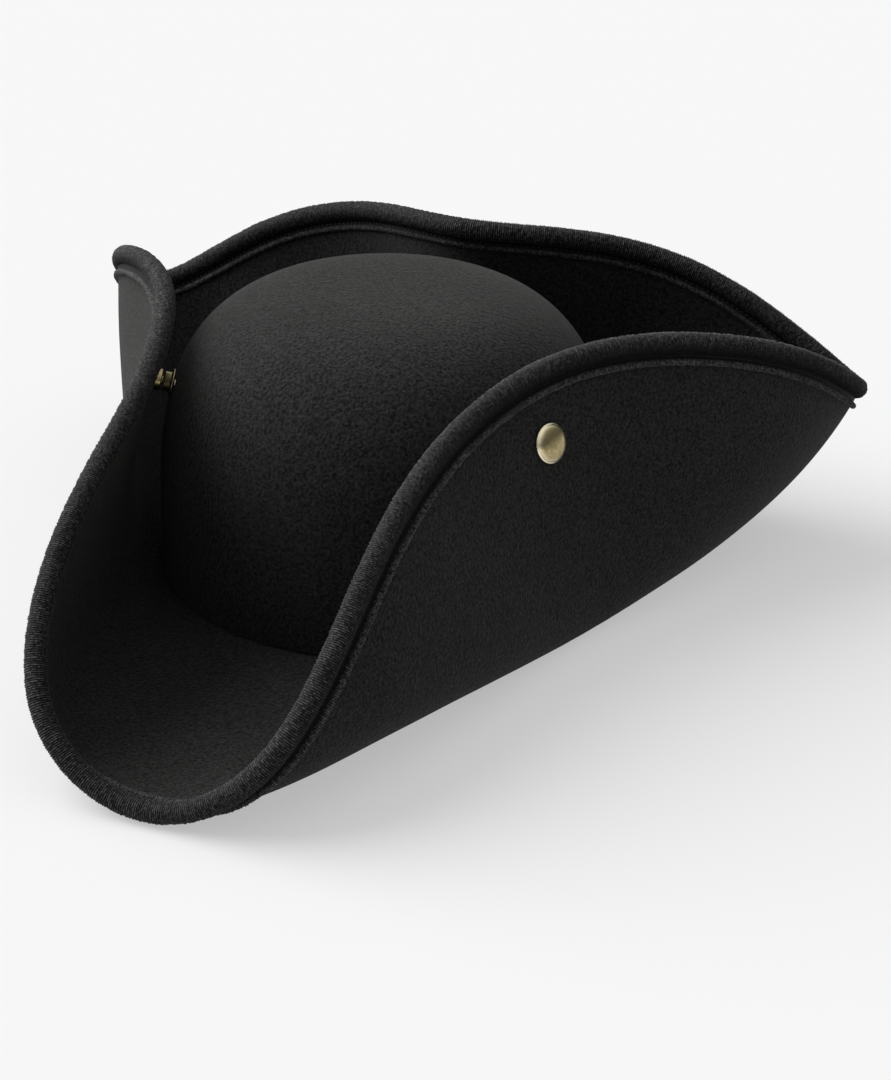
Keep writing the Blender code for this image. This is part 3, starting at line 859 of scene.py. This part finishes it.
# The sky fades from bright overhead to nearly dark at the horizon, a little brighter on the left.
SKY_STRENGTH = 1.05
SKY_LEAN = (-0.20, 0.10, 1.0)                  # towards the bright part: right, away and up
SKY_DARK_AT, SKY_DARK = -0.1, 0.06
KEY_ENERGY, KEY_ANGLE = 5.2, 1.05
KEY_LEAN = (-0.80, 0.35, 0.76)
FLOOR_GREY, FLOOR_GLOW = 0.265, 0.45
FLOOR_SIZE, FLOOR_HEIGHT = 25.0, -0.0003


def camera_axes():
    azimuth, elevation = CAMERA_AZIMUTH, CAMERA_ELEVATION
    right = Vector((math.cos(azimuth), math.sin(azimuth), 0))
    back = Vector((math.sin(azimuth) * math.cos(elevation),
                   -math.cos(azimuth) * math.cos(elevation), math.sin(elevation)))
    return right, back.cross(right), back


def level_direction(lean):
    """Direction from its shares right, away and up; right and away are level, and the camera's."""
    right, _, back = camera_axes()
    away = Vector((-back.x, -back.y, 0)).normalized()
    return lean[0] * right + lean[1] * away + Vector((0, 0, lean[2]))


def make_camera():
    right, up, back = camera_axes()
    data = bpy.data.cameras.new("camera")
    data.lens = LENS
    data.sensor_width = 36.0
    data.clip_start = 0.02
    data.clip_end = 60.0
    camera = add_object("camera", data)
    steps = zip((right, up, back), CAMERA_OFFSET)
    camera.location = sum((axis * step for axis, step in steps), CAMERA_AIM)
    camera.rotation_mode = "QUATERNION"
    camera.rotation_quaternion = Matrix((right, up, back)).transposed().to_quaternion()
    bpy.context.scene.camera = camera


def make_light():
    world = bpy.data.worlds.new("studio")
    world.use_nodes = True
    tree = world.node_tree
    sky = tree.nodes["Background"]
    sky.inputs["Strength"].default_value = SKY_STRENGTH
    place = tree.nodes.new("ShaderNodeTexCoord").outputs["Generated"]
    height = tree.nodes.new("ShaderNodeVectorMath")
    height.operation = "DOT_PRODUCT"
    height.inputs[1].default_value = level_direction(SKY_LEAN).normalized()
    fade = tree.nodes.new("ShaderNodeMapRange")
    fade.inputs["From Min"].default_value = SKY_DARK_AT
    fade.inputs["To Min"].default_value = SKY_DARK
    tree.links.new(place, height.inputs[0])
    tree.links.new(height.outputs["Value"], fade.inputs["Value"])
    tree.links.new(fade.outputs["Result"], sky.inputs["Color"])
    bpy.context.scene.world = world
    data = bpy.data.lights.new("key", "SUN")
    data.energy = KEY_ENERGY
    data.angle = KEY_ANGLE
    key = add_object("key", data)
    key.rotation_mode = "QUATERNION"
    key.rotation_quaternion = level_direction(KEY_LEAN).to_track_quat("Z", "Y")


def make_floor():
    look = Nodes("pale_floor", grey(FLOOR_GREY), 0.9, Specular_IOR_Level=0.0,
                 Emission_Color=(1, 1, 1, 1), Emission_Strength=FLOOR_GLOW)
    mesh = bpy.data.meshes.new("floor")
    corners = ((-1, -1), (1, -1), (1, 1), (-1, 1))
    mesh.from_pydata([(x * FLOOR_SIZE, y * FLOOR_SIZE, FLOOR_HEIGHT) for x, y in corners], [],
                     [(0, 1, 2, 3)])
    mesh.materials.append(look.material)
    add_object("floor", mesh)


# ---------------------------------------------------------------- assembly
make_camera()
make_light()
make_floor()
make_crown()
make_sweatband()
for flap_name in FLAPS:
    make_snap(flap_name)
make_side(1)
make_side(-1)
bpy.context.scene.view_settings.view_transform = "Standard"
bpy.context.view_layer.update()
